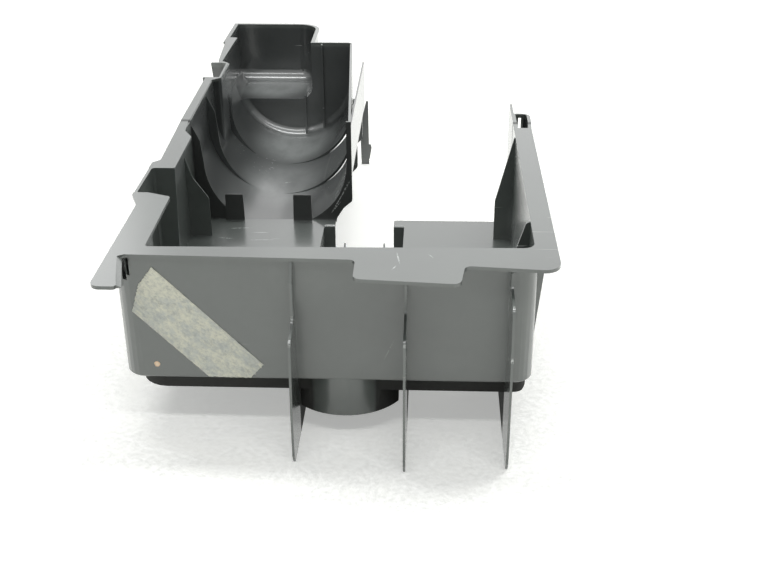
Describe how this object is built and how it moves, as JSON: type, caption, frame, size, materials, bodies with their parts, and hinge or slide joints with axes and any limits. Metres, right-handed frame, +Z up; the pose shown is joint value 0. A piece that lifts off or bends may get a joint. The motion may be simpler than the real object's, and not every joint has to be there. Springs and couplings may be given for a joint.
{
  "type": "trunk tool tray",
  "caption": "Deep moulded plastic tray for a vehicle's trunk: an open front compartment with a round well, rim flanges and fins, and a long arm with a round cradle and a raised alcove.",
  "frame": {"origin": "middle of the bounding box's base, on the plane of the feet", "axes": "+X to the right and +Y to the back as seen from the front wall, +Z up; the arm runs along +Y"},
  "size_m": [0.3316, 0.697, 0.153],
  "materials": {
    "tray": "smooth semi-gloss black polypropylene, lightly scuffed",
    "masking_tape": "creped cream masking tape, wrinkled and grimy"
  },
  "bodies": {
    "root": {"tray": "tray", "masking_tape": "masking_tape"}
  },
  "joints": []
}
